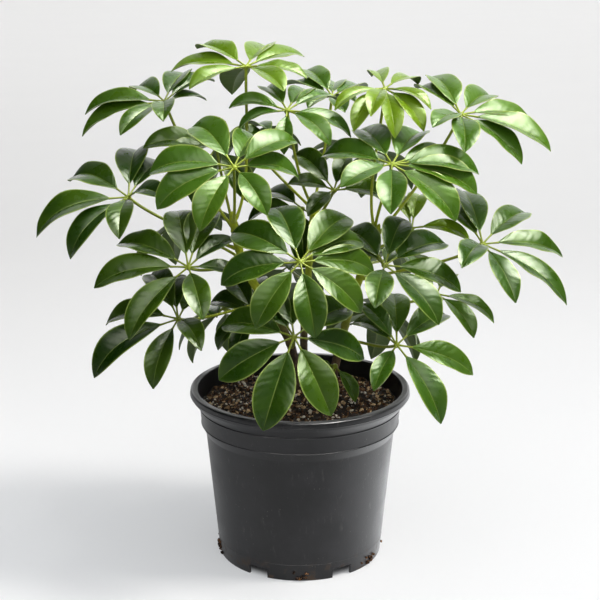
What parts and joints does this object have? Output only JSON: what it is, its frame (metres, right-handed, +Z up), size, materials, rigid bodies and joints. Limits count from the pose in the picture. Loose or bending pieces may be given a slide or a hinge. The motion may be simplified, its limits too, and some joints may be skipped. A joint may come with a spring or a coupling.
{
  "type": "potted umbrella plant",
  "caption": "Umbrella plant in a round black nursery pot: bare woody stems rising from the soil, each with long-stalked compound leaves whose glossy leaflets spread like umbrella ribs.",
  "frame": {"origin": "on the pot's axis at the level of the surface that the pot stands on", "axes": "+Z up along the pot's axis, +X to the right of the picture's front view and along the plant's widest spread, -Y towards the viewer"},
  "size_m": [0.5246, 0.3256, 0.5169],
  "materials": {
    "pot": "satin black moulded polypropylene, lightly dusty",
    "soil": "dark peat potting mix with perlite and bark",
    "stem": "brown-olive bark with leaf scars",
    "leaf": "glossy dark green, paler margin and midrib, matte pale green underside",
    "young_leaf": "glossy bright yellow-green, young growth"
  },
  "bodies": {
    "root": {"pot": "pot", "soil": "soil", "stem_left": "stem", "stem_right": "stem", "stem_back": "stem", "leaf_upper_left": "leaf", "leaf_far_left": "leaf", "leaf_mid_left": "leaf", "leaf_top_left": "young_leaf", "leaf_top_centre": "leaf", "leaf_top_behind": "leaf", "leaf_top_right": "young_leaf", "leaf_upper_right": "young_leaf", "leaf_mid_right": "leaf", "leaf_centre_behind": "leaf", "leaf_far_right": "leaf", "leaf_low_mid_right": "leaf", "leaf_front": "leaf", "leaf_low_mid_left": "leaf", "leaf_low_left": "leaf", "leaf_front_low": "leaf", "leaf_low_right": "leaf", "leaf_right_behind": "leaf", "leaf_young_right": "young_leaf", "leaf_left_behind": "leaf", "leaf_by_soil": "leaf", "leaf_low_inner": "leaf", "leaf_inner": "leaf", "leaf_back_left": "leaf", "leaf_back_right": "leaf", "leaf_back_centre": "leaf", "leaf_back_top_left": "leaf", "leaf_back_top_right": "leaf", "leaf_back_low_left": "leaf", "leaf_back_low_right": "leaf"}
  },
  "joints": []
}
